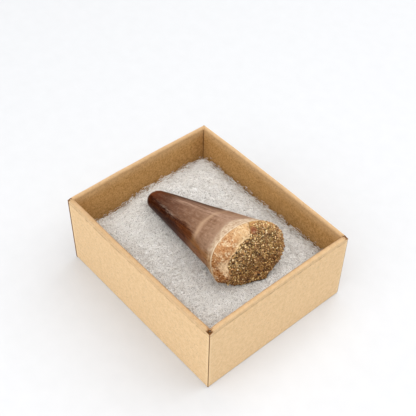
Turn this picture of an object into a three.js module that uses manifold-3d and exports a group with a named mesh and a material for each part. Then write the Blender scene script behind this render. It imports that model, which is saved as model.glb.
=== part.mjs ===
// A fossil mosasaur tooth lying on batting in its small folded kraft tray.
// Millimetres, +Z up. The origin is the middle of the tray's underside, on the surface that it stands on.
// +X runs along the tray's long side, and the tooth's tip points to -X.
// "side" is the level direction across the tooth, towards +Y. Angles round a section start there and rise
// over the top of the tooth.

import * as THREE from "three";
import { mergeVertices } from "three/addons/utils/BufferGeometryUtils.js";
import Module from "manifold-3d";

const wasm = await Module();
wasm.setup();

const { degToRad: degrees, lerp, smoothstep } = THREE.MathUtils;

// ---- driving dimensions ----

const GAP = 0.3; // clearance between pieces that rest on or against each other

const TRAY_LENGTH = 77;
const TRAY_WIDTH = 64;
const TRAY_HEIGHT = 31;
const WALL = 1.8; // the rolled wall: outer panel, fold and inner panel together
const FLOOR = 0.8;
const CORNER_NOTCH = 2.2; // how far from the corner the rolled rim stops
const CORNER_DROP = 1.1; // how far below the rim the corner post ends
const CORNER_SEAM = 0.4; // the open seam down each upright corner
const RIM_ARC_STEPS = 8;

const BATTING_LEVEL = 20.8; // height of its middle above the table
const BATTING_GRID = 2; // spacing of the points of its top
const END_SAG = 3; // how far it falls to the tray's short walls
const SIDE_SAG = 2.4; // and to the long ones
const SAG_REACH = 3.3; // over about this distance
const HOLLOW = { x: -37, y: -17, depth: 2.6, halfLength: 8, halfWidth: 12 }; // sunk patch by the tip
const WAVE_HEIGHT = 0.35;
const WAVE_LENGTH = 6; // a wave's length over 2 pi

const TIP = new THREE.Vector2(-27.1, -3.7); // tooth tip, seen from above
const CROWN_END = new THREE.Vector2(20.1, -0.3); // middle of the crown's broken end, seen from above
const TIP_REST = 20.5; // height of the tooth's underside at the tip
const END_REST = 19; // and at the crown's end
const TIP_HALF_WIDTH = 3.3; // half the width of the cone, carried on to the tip
const TAPER = 9.35; // what the half width gains from tip to end
const FLARE = 0.9; // and what it gains besides, close to the end
const FLATNESS = 0.88; // section height over section width
const TIP_ROUND = 0.085; // share of the crown's length in its rounded tip

const BREAK_FACE = new THREE.Vector3(0.93, -0.2, 0.3).normalize(); // what the broken end faces
const BEVEL_IN = 3.6; // the broken root runs inwards by this much from the enamel edge
const BEVEL_OUT = 3.3; // and outwards along the break's axis by this much
const FACE_BULGE = 0.9; // rise of the rock face in its middle
const ROOT_PITS = 0.16; // unevenness of the root
const ROCK_LUMPS = 0.34; // unevenness of the rock, and of the smaller lumps on it
const ROCK_GRAINS = 0.16;
const CRUST_START = -0.2; // the rock starts at this height over the enamel edge's plane
const STUMP_HEIGHT = 3.5; // the root stands this high over that plane where it shows
const STUMP_FROM = degrees(75); // it shows between these angles
const STUMP_TO = degrees(222);

const SECTORS = 48; // points round each section of the tooth
const ROCK_SECTORS = 60;
const CROWN_RINGS = 30;
const TIP_RINGS = 6;
const ROCK_FROM = 0.75; // station where the rock's own skin starts, well inside the tooth
const BREAK_REACHES = [0.06, 0.12, 0.19, 0.26, 0.34, 0.44, 0.55, 0.67, 0.8, 0.92]; // rings on the broken end
const BEYOND = 45; // more than half the tooth's length, for blocks that cut through it

// ---- joining and cutting ----

function solidOf(geometry) {
  const bare = geometry.clone();
  bare.deleteAttribute("normal");
  bare.deleteAttribute("uv");
  const merged = mergeVertices(bare, 1e-4);
  const mesh = new wasm.Mesh({
    numProp: 3,
    vertProperties: merged.attributes.position.array,
    triVerts: new Uint32Array(merged.index.array),
  });
  return new wasm.Manifold(mesh);
}

function geometryOf(solid) {
  const mesh = solid.getMesh();
  const geometry = new THREE.BufferGeometry();
  geometry.setAttribute("position", new THREE.BufferAttribute(mesh.vertProperties, mesh.numProp));
  geometry.setIndex(new THREE.BufferAttribute(mesh.triVerts, 1));
  geometry.computeVertexNormals();
  return geometry;
}

// Closes a stack of rings, each a list of points, between a point before the first and one after the last.
function skin(first, rings, last) {
  const around = rings[0].length;
  const points = [first, ...rings.flat(), last];
  const at = (ring, sector) => 1 + ring * around + (sector % around);
  const end = points.length - 1;
  const faces = [];
  for (let s = 0; s < around; s++) {
    faces.push(0, at(0, s + 1), at(0, s));
    for (let r = 0; r + 1 < rings.length; r++) {
      faces.push(at(r, s), at(r + 1, s + 1), at(r + 1, s));
      faces.push(at(r, s), at(r, s + 1), at(r + 1, s + 1));
    }
    faces.push(end, at(rings.length - 1, s), at(rings.length - 1, s + 1));
  }
  const geometry = new THREE.BufferGeometry().setFromPoints(points);
  geometry.setIndex(faces);
  return geometry;
}

// ---- the tooth's surface ----

const lengthwise = CROWN_END.clone().sub(TIP);
const crownLength = lengthwise.length();
lengthwise.normalize();
const sideways = new THREE.Vector3(-lengthwise.y, lengthwise.x, 0);
const upwards = new THREE.Vector3(0, 0, 1);

// Ridges along the crown: two thin cutting edges, and the soft edges between its flattened faces.
// A rise is a share of the section's half width.
const RIDGES = [
  { angle: degrees(38), spread: degrees(6), rise: 0.022 },
  { angle: degrees(216), spread: degrees(7), rise: 0.035 },
  { angle: degrees(147), spread: degrees(15), rise: 0.03 },
  { angle: degrees(92), spread: degrees(16), rise: 0.012 },
  { angle: degrees(272), spread: degrees(18), rise: 0.02 },
  { angle: degrees(326), spread: degrees(16), rise: 0.02 },
];

// Stations run from 0 at the tip to 1 at the crown's end.
const coneHalfWidth = (station) => TIP_HALF_WIDTH + TAPER * station + FLARE * station ** 5;

function centreOf(station) {
  const plan = TIP.clone().addScaledVector(lengthwise, station * crownLength);
  const height = lerp(TIP_REST, END_REST, station) + FLATNESS * coneHalfWidth(station);
  return new THREE.Vector3(plan.x, plan.y, height);
}

function ridgeFactor(station, angle) {
  const strength = smoothstep(station, 0.03, 0.2) * (1 - smoothstep(station, 0.7, 1));
  const rise = RIDGES.reduce((sum, ridge) => {
    const turn = Math.abs(angle - ridge.angle) % (2 * Math.PI);
    const off = Math.min(turn, 2 * Math.PI - turn) / ridge.spread;
    return sum + ridge.rise * Math.exp(-off * off);
  }, 0);
  return 1 + strength * rise;
}

function flankPoint(station, angle) {
  const short = 1 - Math.min(station / TIP_ROUND, 1);
  const radius = coneHalfWidth(station) * Math.sqrt(1 - short * short) * ridgeFactor(station, angle);
  return centreOf(station)
    .addScaledVector(sideways, radius * Math.cos(angle))
    .addScaledVector(upwards, FLATNESS * radius * Math.sin(angle));
}

// ---- the broken end ----

const breakCentre = centreOf(1);
const heightOver = (point) => point.clone().sub(breakCentre).dot(BREAK_FACE);

// The station at which the flank meets the break's plane.
function edgeStation(angle) {
  let low = 0.7;
  let high = 1.3;
  while (high - low > 1e-6) {
    const middle = (low + high) / 2;
    if (heightOver(flankPoint(middle, angle)) < 0) low = middle;
    else high = middle;
  }
  return low;
}

// A soft repeatable unevenness between -1 and 1.
function uneven(point, pitch, phase) {
  const x = point.x / pitch + phase;
  const y = point.y / pitch - phase;
  const z = point.z / pitch + 2 * phase;
  const broad = Math.sin(2.1 * x + 1.3 * Math.sin(1.7 * y)) * Math.cos(1.9 * z + Math.sin(2.3 * x));
  const close = Math.sin(4.7 * y + 3.1 * z) * Math.cos(5.3 * x - 2.9 * y);
  return 0.6 * broad + 0.4 * close;
}

// A point of the broken end, a share of the way in from a point of the enamel edge to the middle of the face:
// first over the bevel, then over the bulging face.
function breakPoint(edge, reach) {
  const spoke = edge.clone().sub(breakCentre);
  const bevelShare = BEVEL_IN / spoke.length();
  const along = Math.min(reach / bevelShare, 1);
  const inward = Math.max(reach - bevelShare, 0) / (1 - bevelShare);
  const rise = BEVEL_OUT * Math.sin((along * Math.PI) / 2) + FACE_BULGE * (1 - (1 - inward) ** 2);
  return breakCentre
    .clone()
    .addScaledVector(spoke, 1 - reach)
    .addScaledVector(BREAK_FACE, rise);
}

// The whole fossil as one closed skin, without its tip where fromStation says so. lumps(point) moves each
// point of it outwards.
function fossilSkin(sectors, fromStation, lumps) {
  const angles = Array.from({ length: sectors }, (_, s) => (s / sectors) * 2 * Math.PI);
  const edges = angles.map(edgeStation);
  const push = (point, from) => point.addScaledVector(point.clone().sub(from).normalize(), lumps(point));
  // The rings lean over little by little until the last one lies in the break's plane.
  const flankRing = (share) =>
    angles.map((angle, s) => {
      const station = share * lerp(1, edges[s], smoothstep(share, 0.55, 1));
      return push(flankPoint(station, angle), centreOf(station));
    });
  const breakRing = (reach) =>
    angles.map((angle, s) => push(breakPoint(flankPoint(edges[s], angle), reach), centreOf(ROCK_FROM)));

  const shares = [];
  if (fromStation === 0) {
    for (let r = 1; r <= TIP_RINGS; r++) {
      const turn = ((r / TIP_RINGS) * Math.PI) / 2;
      shares.push(TIP_ROUND * (1 - Math.cos(turn)));
    }
  }
  const start = Math.max(fromStation, TIP_ROUND);
  const count = Math.round(CROWN_RINGS * (1 - start));
  for (let r = 1; r <= count; r++) shares.push(lerp(start, 1, r / count));
  const rings = [...shares.map(flankRing), ...BREAK_REACHES.map(breakRing)];
  return skin(centreOf(fromStation), rings, breakPoint(flankPoint(edges[0], 0), 1));
}

// All that belongs to the tooth, grown by a margin: everything under the enamel edge, and the stump of root
// that stands above it on one side. Everything else is rock.
function toothRegion(margin) {
  const under = new THREE.BoxGeometry(2 * BEYOND, 2 * BEYOND, 2 * BEYOND);
  under.translate(0, 0, CRUST_START + margin - BEYOND);

  const middle = (STUMP_FROM + STUMP_TO) / 2;
  const halfAngle = (STUMP_TO - STUMP_FROM) / 2;
  const setBack = -margin / Math.sin(halfAngle);
  const apex = new THREE.Vector2(Math.cos(middle), Math.sin(middle)).multiplyScalar(setBack);
  const wedge = new THREE.Shape();
  wedge.moveTo(apex.x, apex.y);
  wedge.absarc(apex.x, apex.y, BEYOND, STUMP_FROM, STUMP_TO);
  wedge.lineTo(apex.x, apex.y);
  const foot = CRUST_START - 1;
  const depth = STUMP_HEIGHT + margin - foot;
  const stump = new THREE.ExtrudeGeometry(wedge, { depth, steps: 1, bevelEnabled: false, curveSegments: 12 });
  stump.translate(0, 0, foot);

  const across = sideways.clone().projectOnPlane(BREAK_FACE).normalize();
  const frame = new THREE.Matrix4().makeBasis(across, BREAK_FACE.clone().cross(across), BREAK_FACE);
  frame.setPosition(breakCentre);
  return solidOf(under.applyMatrix4(frame)).add(solidOf(stump.applyMatrix4(frame)));
}

function toothGeometry() {
  const pits = (point) => (heightOver(point) > GAP ? ROOT_PITS * uneven(point, 2.2, 0.4) : 0);
  const whole = solidOf(fossilSkin(SECTORS, 0, pits));
  return geometryOf(whole.intersect(toothRegion(0)));
}

function rockGeometry() {
  const broad = (point) => ROCK_LUMPS * (uneven(point, 2.6, 1.9) + 0.3);
  const lumps = (point) => broad(point) + ROCK_GRAINS * uneven(point, 1.1, 0.7);
  const whole = solidOf(fossilSkin(ROCK_SECTORS, ROCK_FROM, lumps));
  return geometryOf(whole.subtract(toothRegion(GAP)));
}

// ---- the batting ----

// The pillow's own height, before the tooth presses into it.
function pillowHeight(x, y) {
  const fromEnd = TRAY_LENGTH / 2 - WALL - Math.abs(x);
  const fromSide = TRAY_WIDTH / 2 - WALL - Math.abs(y);
  const sag = END_SAG * Math.exp(-fromEnd / SAG_REACH) + SIDE_SAG * Math.exp(-fromSide / SAG_REACH);
  const away = Math.hypot((x - HOLLOW.x) / HOLLOW.halfLength, (y - HOLLOW.y) / HOLLOW.halfWidth);
  const long = Math.sin(x / WAVE_LENGTH + 1) * Math.cos(y / WAVE_LENGTH);
  const short = 0.7 * Math.sin((2 * x - 1.6 * y) / WAVE_LENGTH);
  return BATTING_LEVEL - sag - HOLLOW.depth * Math.exp(-away * away) + WAVE_HEIGHT * (long + short);
}

// The lowest of the resting points that lie within one grid step of a place.
function undersideAt(resting, x, y) {
  const near = resting.filter((point) => Math.hypot(point.x - x, point.y - y) < BATTING_GRID);
  return Math.min(Infinity, ...near.map((point) => point.z));
}

function battingGeometry(restingParts) {
  const halfX = TRAY_LENGTH / 2 - WALL - GAP;
  const halfY = TRAY_WIDTH / 2 - WALL - GAP;
  const bottom = FLOOR + GAP;
  const countX = Math.round((2 * halfX) / BATTING_GRID);
  const countY = Math.round((2 * halfY) / BATTING_GRID);
  const resting = restingParts.flatMap((geometry) => {
    const place = geometry.attributes.position;
    return Array.from({ length: place.count }, (_, i) => new THREE.Vector3().fromBufferAttribute(place, i));
  });

  const points = [];
  for (let j = 0; j <= countY; j++) {
    for (let i = 0; i <= countX; i++) {
      const x = lerp(-halfX, halfX, i / countX);
      const y = lerp(-halfY, halfY, j / countY);
      const height = Math.min(pillowHeight(x, y), undersideAt(resting, x, y) - GAP);
      points.push(new THREE.Vector3(x, y, height));
    }
  }
  const at = (i, j) => j * (countX + 1) + i;
  const faces = [];
  for (let j = 0; j < countY; j++) {
    for (let i = 0; i < countX; i++) {
      faces.push(at(i, j), at(i + 1, j), at(i + 1, j + 1));
      faces.push(at(i, j), at(i + 1, j + 1), at(i, j + 1));
    }
  }
  const border = [];
  for (let i = 0; i < countX; i++) border.push(at(i, 0));
  for (let j = 0; j < countY; j++) border.push(at(countX, j));
  for (let i = countX; i > 0; i--) border.push(at(i, countY));
  for (let j = countY; j > 0; j--) border.push(at(0, j));
  const low = border.map((index) => points.push(points[index].clone().setZ(bottom)) - 1);
  const middle = points.push(new THREE.Vector3(0, 0, bottom)) - 1;
  border.forEach((top, n) => {
    const next = (n + 1) % border.length;
    faces.push(top, low[n], low[next]);
    faces.push(top, low[next], border[next]);
    faces.push(middle, low[next], low[n]);
  });
  const geometry = new THREE.BufferGeometry().setFromPoints(points);
  geometry.setIndex(faces);
  geometry.computeVertexNormals();
  return geometry;
}

// ---- the tray ----

// A wall along X, with its outer face on y = 0, its thickness towards +Y and its top rolled round.
function wallGeometry(length) {
  const radius = WALL / 2;
  const section = new THREE.Shape();
  section.moveTo(0, 0);
  section.lineTo(WALL, 0);
  section.lineTo(WALL, TRAY_HEIGHT - radius);
  section.absarc(radius, TRAY_HEIGHT - radius, radius, 0, Math.PI);
  section.lineTo(0, 0);
  const wall = new THREE.ExtrudeGeometry(section, {
    depth: length,
    steps: 1,
    bevelEnabled: false,
    curveSegments: RIM_ARC_STEPS,
  });
  wall.rotateX(Math.PI / 2);
  wall.rotateZ(Math.PI / 2);
  wall.translate(-length / 2, 0, 0);
  return wall;
}

function trayGeometry() {
  const floor = new THREE.BoxGeometry(TRAY_LENGTH - WALL, TRAY_WIDTH - WALL, FLOOR);
  floor.translate(0, 0, FLOOR / 2);
  let tray = solidOf(floor);
  for (let side = 0; side < 4; side++) {
    const alongX = side % 2 === 0;
    const length = alongX ? TRAY_LENGTH : TRAY_WIDTH;
    const reach = (alongX ? TRAY_WIDTH : TRAY_LENGTH) / 2;
    const panelHeight = TRAY_HEIGHT - CORNER_DROP;
    const panel = new THREE.BoxGeometry(length - 2 * CORNER_SEAM, WALL, panelHeight);
    panel.translate(0, WALL / 2 - reach, panelHeight / 2);
    const wall = wallGeometry(length - 2 * CORNER_NOTCH);
    wall.translate(0, -reach, 0);
    for (const shape of [panel, wall]) {
      shape.rotateZ((side * Math.PI) / 2);
      tray = tray.add(solidOf(shape));
    }
  }
  return geometryOf(tray);
}

// ---- the object ----

function piece(name, geometry, color, roughness) {
  const mesh = new THREE.Mesh(geometry, new THREE.MeshStandardMaterial({ color, roughness, metalness: 0 }));
  mesh.name = name;
  return mesh;
}

const tooth = toothGeometry();
const rock = rockGeometry();

const object = new THREE.Group();
object.add(piece("kraft_tray", trayGeometry(), 0xd9bb8c, 0.85));
object.add(piece("batting_pad", battingGeometry([tooth, rock]), 0xd6d2cc, 1));
object.add(piece("tooth", tooth, 0x7a5238, 0.35));
object.add(piece("rock_matrix", rock, 0x84683f, 0.95));

export default object;
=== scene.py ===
"""A fossil mosasaur tooth with its rock crust, lying on batting in a small folded kraft tray.

Sizes in the helpers below are millimetres. They become metres when a mesh is finished.
+X runs along the tray's long side, from the tooth's tip to its broken end, and +Z is up.
"""

import math

import bmesh
import bpy
import numpy as np
from bpy.props import FloatProperty, FloatVectorProperty, IntProperty, PointerProperty
from mathutils import Matrix, Vector, noise
from mathutils.bvhtree import BVHTree


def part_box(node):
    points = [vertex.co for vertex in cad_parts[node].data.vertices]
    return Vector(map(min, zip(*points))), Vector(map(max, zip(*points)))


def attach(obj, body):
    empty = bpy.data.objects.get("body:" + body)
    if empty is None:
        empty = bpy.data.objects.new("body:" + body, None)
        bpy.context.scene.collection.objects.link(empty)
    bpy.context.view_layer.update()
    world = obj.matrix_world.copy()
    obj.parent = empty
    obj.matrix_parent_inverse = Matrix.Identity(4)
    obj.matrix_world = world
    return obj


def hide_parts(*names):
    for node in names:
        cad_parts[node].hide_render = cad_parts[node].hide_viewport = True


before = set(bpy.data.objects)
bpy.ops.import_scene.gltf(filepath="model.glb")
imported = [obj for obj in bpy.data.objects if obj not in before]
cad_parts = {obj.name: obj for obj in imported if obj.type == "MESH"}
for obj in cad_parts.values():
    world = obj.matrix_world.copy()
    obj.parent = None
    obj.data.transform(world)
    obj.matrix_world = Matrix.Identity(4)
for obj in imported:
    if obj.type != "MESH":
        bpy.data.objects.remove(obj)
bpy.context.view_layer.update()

bl_info = {
    "name": "Fossil Tooth in a Kraft Tray",
    "version": (1, 0, 0),
    "blender": (4, 5, 0),
    "location": "View3D > Sidebar > Fossil",
    "description": "Builds a fossil reptile tooth with its rock crust on batting in a folded tray",
    "category": "Add Mesh",
}

MM = 0.001
MERGE = 1e-4  # points nearer than this, in millimetres, become one
TRAY_LOW, TRAY_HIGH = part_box("kraft_tray")
PAD_LOW, PAD_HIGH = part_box("batting_pad")
WALL = 1.8  # the tray's rolled wall, both panels together
UPWARDS = np.array((0, 0, 1))


def srgb(*channels):
    """A colour given as 0 to 255 on the screen, as linear light."""
    shares = [c / 255 for c in channels]
    return tuple(s / 12.92 if s <= 0.04045 else ((s + 0.055) / 1.055) ** 2.4 for s in shares)


def lerp(low, high, share):
    return low + (high - low) * share


def smooth(value, low, high):
    """0 under low, 1 over high, and a soft step between them."""
    t = np.clip((value - low) / (high - low), 0, 1)
    return t * t * (3 - 2 * t)


def bump_at(value, place, width):
    """A soft bump, 1 at the place."""
    return np.exp(-(((value - place) / width) ** 2))


def turn_between(angle, other):
    """The smaller turn between two directions, in radians."""
    turn = np.abs(angle - other) % (2 * math.pi)
    return np.minimum(turn, 2 * math.pi - turn)


def noise_at(points):
    """Soft noise between -1 and 1 at each point, with lumps about 1 across."""
    return np.array([noise.noise(Vector(p)) for p in points])


def grain_at(places, pitch, seed, octaves):
    """Layered noise between about -1 and 1 at each place, with the given size of its lumps."""
    shift = Vector((seed * 7.3, seed * 3.1, seed * 5.7))
    return np.array([noise.fractal(Vector(p) / pitch + shift, 0.9, 2.0, octaves) for p in places])


def cells_at(places, pitch, seed):
    """The distance from each place to the nearest of points scattered about a pitch apart."""
    shift = Vector((seed * 2.9, seed * 8.3, seed * 4.1))
    return np.array([noise.voronoi(Vector(p) / pitch + shift)[0][0] for p in places])


# ---- the fossil's form, in millimetres ----

TIP = np.array((-27.6, -3.75))  # seen from above
CROWN_END = np.array((20.1, -0.3))  # the middle of the crown's broken end, seen from above
TIP_REST, END_REST = 20.5, 19.0  # height of the crown's underside at the tip and at the end
TIP_HALF_WIDTH = 3.3  # half the width of the cone, carried on to the tip
TAPER = 9.35  # what the half width gains from tip to end
FLARE = 0.9  # and what it gains besides, close to the end
FLATNESS = 0.88  # section height over section width
TIP_ROUND = 0.076  # share of the crown's length in its rounded tip
BREAK_FACE = np.array((0.93, -0.2, 0.3)) / np.linalg.norm((0.93, -0.2, 0.3))
BEVEL_IN, BEVEL_OUT = 3.6, 3.3  # how far the root runs in from the enamel edge, and out from it
FACE_BULGE = 0.9  # rise of the rock face in its middle
# Soft ridges: direction and spread in degrees, and height as a share of the radius.
RIDGES = (
    (40, 9, 0.05),
    (216, 7, 0.01),
    (147, 15, 0.03),
    (92, 16, 0.012),
    (272, 18, 0.02),
    (326, 16, 0.02),
)
# Swellings of the stump's lower rim: direction and spread in degrees, height, and the run at which
# each starts.
SWELLINGS = ((207, 15, 1.5, -0.1), (284, 11, 1.2, 0.0))
# The directions, in degrees, over which the stump of root comes out from under the rock, and goes
# back under it. Between them the rock's rim lies this far in from the enamel edge, as a run.
STUMP_FROM, STUMP_TO = (71, 79), (205, 229)
ROCK_INSET = 0.38
# The middles of the reddish spot in the rock and of the chalky patch on the stump.
RED_SPOT = (20.9, 2.7, 40.6)
CHALK_PATCH = (21.3, -10.2, 31.2)

CROWN_LENGTH = float(np.linalg.norm(CROWN_END - TIP))
LENGTHWISE = (CROWN_END - TIP) / CROWN_LENGTH
SIDEWAYS = np.array((-LENGTHWISE[1], LENGTHWISE[0], 0))
# The size of the crown's own pattern space, in metres round it and along it.
ROUND_SIZE, STREAK_RUN = 0.011, 0.0045


def half_width(station):
    return TIP_HALF_WIDTH + TAPER * station + FLARE * station**5


def centre_of(station):
    """The middle of the section at a station, from 0 at the tip to 1 at the crown's end."""
    station = np.asarray(station, float)
    plan = TIP + (CROWN_END - TIP) * station[..., None]
    height = lerp(TIP_REST, END_REST, station) + FLATNESS * half_width(station)
    return np.concatenate([plan, height[..., None]], axis=-1)


def flank(station, angle):
    """A place on the crown. Angles start level, towards +Y, and rise over the top."""
    strength = smooth(station, 0.03, 0.2) * (1 - smooth(station, 0.7, 1))
    rise = sum(
        height * bump_at(turn_between(angle, math.radians(at)), 0, math.radians(spread))
        for at, spread, height in RIDGES
    )
    short = 1 - np.minimum(station / TIP_ROUND, 1)
    radius = half_width(station) * np.sqrt(1 - short**2) * (1 + strength * rise)
    across = (radius * np.cos(angle))[..., None] * SIDEWAYS
    return centre_of(station) + across + (FLATNESS * radius * np.sin(angle))[..., None] * UPWARDS


BREAK_CENTRE = centre_of(1.0)


def edge_station(angle):
    """The station at which the flank meets the break's plane, found by halving."""
    low, high = np.full_like(angle, 0.7), np.full_like(angle, 1.3)
    for _ in range(24):
        middle = (low + high) / 2
        under = (flank(middle, angle) - BREAK_CENTRE) @ BREAK_FACE < 0
        low, high = np.where(under, middle, low), np.where(under, high, middle)
    return low


def broken_place(edge, reach):
    """A place on the broken end, a share of the way in from a point of the enamel edge."""
    spoke = edge - BREAK_CENTRE
    bevel_share = BEVEL_IN / np.linalg.norm(spoke, axis=-1)
    along = np.minimum(reach / bevel_share, 1)
    inward = np.maximum(reach - bevel_share, 0) / (1 - bevel_share)
    rise = BEVEL_OUT * np.sin(along * math.pi / 2) + FACE_BULGE * (1 - (1 - inward) ** 2)
    return BREAK_CENTRE + spoke * (1 - reach)[..., None] + rise[..., None] * BREAK_FACE


def outward(places):
    """The direction in which the skin is pushed out: away from a point inside the thick end."""
    away = places - centre_of(0.75)
    return away / np.linalg.norm(away, axis=-1, keepdims=True)


def skin(angle, run):
    """A place on the fossil's skin.

    The run goes from -1 at the tip to 0 at the enamel edge and 1 at the middle of the broken face.
    """
    share = np.clip(1 + run, 0, 1)
    edge = edge_station(angle)
    on_crown = flank(share * lerp(1, edge, smooth(share, 0.55, 1)), angle)
    on_break = broken_place(flank(edge, angle), np.clip(run, 0, 1))
    places = np.where((run <= 0)[..., None], on_crown, on_break)
    degrees = np.degrees(angle) % 360
    swelling = sum(
        height * bump_at(degrees, at, spread) * smooth(run, start - 0.03, start + 0.12)
        for at, spread, height, start in SWELLINGS
    )
    swelling = swelling * (1 - smooth(run, 0.2, 0.55))
    return places + outward(places) * swelling[..., None]


def rock_rim(angle):
    """Where the rock's ragged rim lies, as a run: round the stump, or on the enamel edge."""
    degrees = np.degrees(angle) % 360
    ragged, fine = (
        noise_at((math.cos(a) * lumps, math.sin(a) * lumps, seed) for a in angle)
        for lumps, seed in ((5, 1.7), (17, 4.2))
    )
    inside = ROCK_INSET + 0.05 * np.sin(np.radians(degrees - 75) * 2.2) + 0.045 * ragged
    inside = inside + 0.025 * fine + 0.06 * bump_at(degrees, 150, 24)
    showing = smooth(degrees, *STUMP_FROM) * (1 - smooth(degrees, *STUMP_TO))
    return lerp(-0.008 + 0.006 * ragged + 0.004 * fine, inside, showing)


def patch_share(places, middle, reach):
    """1 in the middle of a ragged patch, and 0 outside it."""
    ragged = 1 + 0.4 * grain_at(places, 1.3, 23.0, 2)
    away = np.linalg.norm(places - np.array(middle), axis=1) * ragged
    return 1 - smooth(away, 0.35 * reach, reach)


# ---- finishing a piece ----


def grid_places(mesh, across, along):
    """Fills a bmesh with a grid of faces and returns each vertex's two shares, from 0 to 1."""
    bmesh.ops.create_grid(mesh, x_segments=across, y_segments=along, size=1)
    flat = np.array([v.co for v in mesh.verts])
    return (flat[:, 0] + 1) / 2, (flat[:, 1] + 1) / 2


def put(mesh, places):
    for vertex, place in zip(mesh.verts, places):
        vertex.co = place


def note(mesh, **masks):
    """Keeps numbers on the vertices for the material. A mask is one number each, or one for all."""
    for name, values in masks.items():
        layer = mesh.verts.layers.float.new(name)
        for vertex, value in zip(mesh.verts, np.broadcast_to(values, len(mesh.verts))):
            vertex[layer] = float(value)


def close_up(mesh):
    """Merges seams and poles, and turns all faces outwards."""
    bmesh.ops.remove_doubles(mesh, verts=mesh.verts, dist=MERGE)
    bmesh.ops.dissolve_degenerate(mesh, edges=mesh.edges, dist=MERGE)
    bmesh.ops.recalc_face_normals(mesh, faces=mesh.faces)


def to_data(name, mesh):
    """Turns a bmesh into mesh data."""
    data = bpy.data.meshes.new(name)
    mesh.to_mesh(data)
    mesh.free()
    return data


def show(name, data):
    """Puts an object with this data in the scene."""
    shown = bpy.data.objects.new(name, data)
    bpy.context.scene.collection.objects.link(shown)
    return shown


def finish_piece(name, mesh, material, node, smooth_shaded=True):
    """Turns a bmesh in millimetres into a piece that stands for a CAD node."""
    bmesh.ops.scale(mesh, vec=(MM, MM, MM), verts=mesh.verts)
    return show_piece(name, to_data(name, mesh), material, node, smooth_shaded)


def show_piece(name, data, material, node, smooth_shaded=True):
    data.polygons.foreach_set("use_smooth", [smooth_shaded] * len(data.polygons))
    data.materials.append(material)
    piece = show(name, data)
    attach(piece, "root")
    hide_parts(node)
    return piece


# ---- materials ----


class Wire:
    """A socket whose arithmetic adds Math nodes."""

    def __init__(self, paint, socket):
        self.paint = paint
        self.socket = socket

    def math(self, operation, other=0.0, clamp=False, reflected=False):
        first, second = (other, self) if reflected else (self, other)
        settings = {"operation": operation, "use_clamp": clamp}
        return self.paint.node("ShaderNodeMath", settings, {0: first, 1: second})

    def __add__(self, other):
        return self.math("ADD", other)

    __radd__ = __add__

    def __sub__(self, other):
        return self.math("SUBTRACT", other)

    def __rsub__(self, other):
        return self.math("SUBTRACT", other, reflected=True)

    def __mul__(self, other):
        return self.math("MULTIPLY", other)

    __rmul__ = __mul__

    def clamped(self):
        return self.math("ADD", 0.0, clamp=True)


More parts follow.
